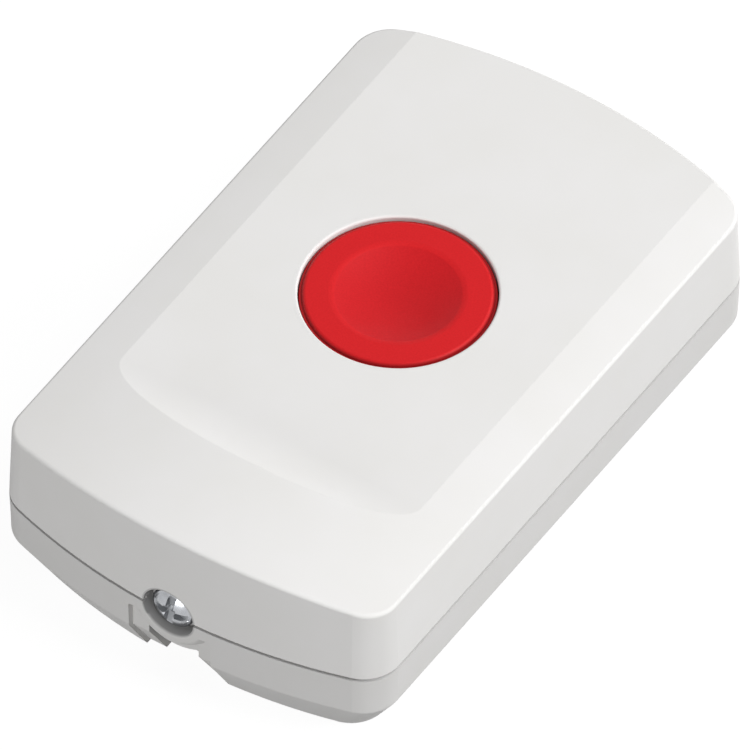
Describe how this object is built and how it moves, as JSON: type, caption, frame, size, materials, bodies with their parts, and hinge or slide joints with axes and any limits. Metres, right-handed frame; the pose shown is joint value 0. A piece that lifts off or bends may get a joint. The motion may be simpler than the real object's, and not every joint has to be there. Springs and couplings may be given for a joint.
{
  "type": "wireless panic button",
  "caption": "Hand-size radio alarm transmitter: rounded housing with a crowned front, a flat panel, a dished round push button and a closing screw at one end.",
  "frame": {"origin": "centre of the flat back, which rests on the wall or the table", "axes": "+Z out of the back towards the button, +Y along the length away from the closing screw, +X across the width"},
  "size_m": [0.051, 0.0821, 0.0244],
  "materials": {
    "cover_plastic": "fine satin",
    "base_plastic": "fine satin",
    "button_red": "fine grained",
    "bright_screw": "bright plated",
    "insert_brass": "turned",
    "board_green": "lacquered",
    "radio_board_blue": "lacquered",
    "plated_steel": "plated",
    "spring_steel": "nickel plated",
    "cell_sleeve": "smooth film",
    "pad_foam": "open foam",
    "black_plastic": "moulded",
    "stem_plastic": "moulded",
    "shield_tin": "tinned",
    "aerial_copper": "enamelled",
    "can_aluminium": "satin",
    "lamp_lens": "clear red",
    "chip_ceramic": "fired",
    "tinned_wire": "tinned"
  },
  "bodies": {
    "housing": {"front_cover": "cover_plastic", "rear_housing": "base_plastic", "closing_screw": "bright_screw", "threaded_insert": "insert_brass", "circuit_board": "board_green", "board_screws": "plated_steel", "battery_cell": "cell_sleeve", "battery_plus_contact": "spring_steel", "battery_minus_plate": "spring_steel", "battery_minus_spring": "spring_steel", "cell_foam_pad": "pad_foam", "switch_body": "black_plastic", "switch_frame": "shield_tin", "switch_pins": "tinned_wire", "tamper_switch_body": "black_plastic", "tamper_switch_frame": "shield_tin", "tamper_switch_plunger": "stem_plastic", "tamper_switch_pins": "tinned_wire", "radio_board": "radio_board_blue", "radio_chip": "black_plastic", "radio_shield": "shield_tin", "antenna_coil": "aerial_copper", "processor_body": "black_plastic", "processor_leads": "tinned_wire", "crystal_can": "can_aluminium", "reservoir_capacitor": "can_aluminium", "capacitor_base": "black_plastic", "chip_parts": "chip_ceramic", "indicator_led": "lamp_lens", "led_leads": "tinned_wire", "header_block": "black_plastic", "header_pins": "tinned_wire", "jumper_cap": "black_plastic"},
    "button": {"button_cap": "button_red"},
    "stem": {"switch_plunger": "stem_plastic"}
  },
  "joints": [
    {"name": "button_press", "type": "slide", "parent": "housing", "child": "button", "axis": [0, 0, 1], "range_m": [-0.0005, 0], "stiffness_N_per_m": 3000, "springref_m": 0.0002},
    {"name": "stem_press", "type": "slide", "parent": "housing", "child": "stem", "axis": [0, 0, 1], "range_m": [-0.0005, 0], "stiffness_N_per_m": 400}
  ],
  "couplings": [
    {"joint": "stem_press", "follows": "button_press", "ratio": 1}
  ]
}
